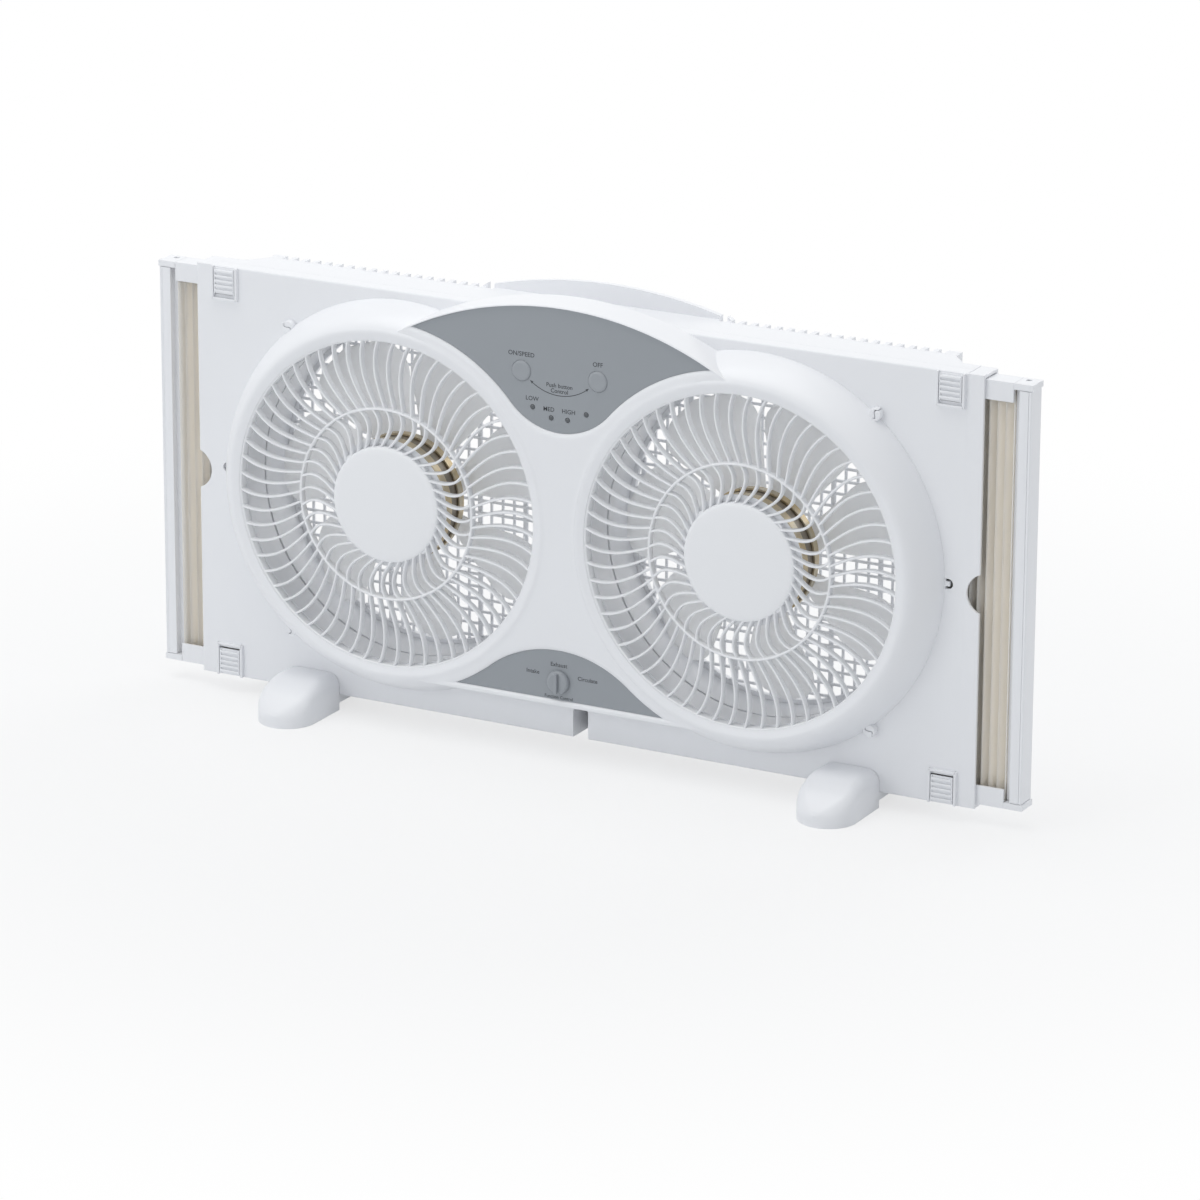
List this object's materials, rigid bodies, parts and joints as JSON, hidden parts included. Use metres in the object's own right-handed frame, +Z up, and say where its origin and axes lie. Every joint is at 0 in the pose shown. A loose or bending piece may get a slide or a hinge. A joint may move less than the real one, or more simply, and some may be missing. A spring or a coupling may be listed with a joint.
{
  "type": "window fan",
  "caption": "Twin window fan with swirl grilles, grey control panels, pull-out side curtains with latches, and clip-on feet.",
  "frame": {"origin": "on the floor, under the middle of the body", "axes": "+Z up, the fans face -Y, +X to the right seen from the front"},
  "size_m": [0.6464, 0.1256, 0.3135],
  "materials": {
    "white_plastic": "smooth satin",
    "pale_plastic": "smooth",
    "grey_plastic": "satin",
    "cream_vinyl": "matte",
    "gold_metal": "yellow chromate",
    "steel": "bright",
    "dark_plastic": "matte",
    "lens": "clear gloss",
    "board": "coated",
    "bronze": "sintered",
    "core_steel": "oiled laminations",
    "copper": "enamelled wire"
  },
  "bodies": {
    "body": {"front_bezel": "white_plastic", "front_housing": "white_plastic", "rear_housing": "white_plastic", "rear_grille": "white_plastic", "left_end_frame": "white_plastic", "right_end_frame": "white_plastic", "left_front_grille": "white_plastic", "right_front_grille": "white_plastic", "control_panel": "grey_plastic", "function_panel": "grey_plastic", "indicator_lenses": "lens", "control_board": "board", "function_switch": "dark_plastic", "left_front_bracket": "gold_metal", "right_front_bracket": "gold_metal", "left_rear_bracket": "gold_metal", "right_rear_bracket": "gold_metal", "left_bushes": "bronze", "right_bushes": "bronze", "left_stator": "core_steel", "right_stator": "core_steel", "left_coils": "copper", "right_coils": "copper", "motor_screws": "steel", "housing_screws": "steel", "grille_screws": "steel", "left_curtain": "cream_vinyl", "right_curtain": "cream_vinyl", "left_foot": "white_plastic", "right_foot": "white_plastic", "foot_screws": "steel"},
    "left_fan": {"left_fan_blades": "pale_plastic", "left_blade_nut": "dark_plastic", "left_shaft": "steel", "left_rotor": "steel"},
    "right_fan": {"right_fan_blades": "pale_plastic", "right_blade_nut": "dark_plastic", "right_shaft": "steel", "right_rotor": "steel"},
    "speed_button": {"speed_button": "grey_plastic"},
    "off_button": {"off_button": "grey_plastic"},
    "function_dial": {"function_dial": "grey_plastic"},
    "left_side": {"left_expander": "white_plastic", "left_stile_caps": "white_plastic"},
    "right_side": {"right_expander": "white_plastic", "right_stile_caps": "white_plastic"},
    "top_left_latch": {"top_left_latch": "white_plastic"},
    "top_right_latch": {"top_right_latch": "white_plastic"},
    "bottom_left_latch": {"bottom_left_latch": "white_plastic"},
    "bottom_right_latch": {"bottom_right_latch": "white_plastic"}
  },
  "joints": [
    {"name": "left_fan_spin", "type": "hinge", "parent": "body", "child": "left_fan", "pos_m": [-0.1315, 0.01, 0.1595], "axis": [0, 1, 0], "continuous": true},
    {"name": "right_fan_spin", "type": "hinge", "parent": "body", "child": "right_fan", "pos_m": [0.1315, 0.01, 0.1595], "axis": [0, 1, 0], "continuous": true},
    {"name": "speed_button_press", "type": "slide", "parent": "body", "child": "speed_button", "axis": [0, 1, 0], "range_m": [0, 0.0012], "stiffness_N_per_m": 900, "springref_m": -0.0006},
    {"name": "off_button_press", "type": "slide", "parent": "body", "child": "off_button", "axis": [0, 1, 0], "range_m": [0, 0.0012], "stiffness_N_per_m": 900, "springref_m": -0.0006},
    {"name": "function_dial_turn", "type": "hinge", "parent": "body", "child": "function_dial", "pos_m": [0, -0.035, 0.057], "axis": [0, 1, 0], "range_deg": [-45, 45]},
    {"name": "left_side_slide", "type": "slide", "parent": "body", "child": "left_side", "axis": [-1, 0, 0], "range_m": [-0.0186, 0.148], "deforming": ["left_curtain"]},
    {"name": "right_side_slide", "type": "slide", "parent": "body", "child": "right_side", "axis": [1, 0, 0], "range_m": [-0.0186, 0.148], "deforming": ["right_curtain"]},
    {"name": "top_left_latch_slide", "type": "slide", "parent": "body", "child": "top_left_latch", "axis": [0, 0, -1], "range_m": [0, 0.002]},
    {"name": "top_right_latch_slide", "type": "slide", "parent": "body", "child": "top_right_latch", "axis": [0, 0, -1], "range_m": [0, 0.002]},
    {"name": "bottom_left_latch_slide", "type": "slide", "parent": "body", "child": "bottom_left_latch", "axis": [0, 0, 1], "range_m": [0, 0.002]},
    {"name": "bottom_right_latch_slide", "type": "slide", "parent": "body", "child": "bottom_right_latch", "axis": [0, 0, 1], "range_m": [0, 0.002]}
  ]
}
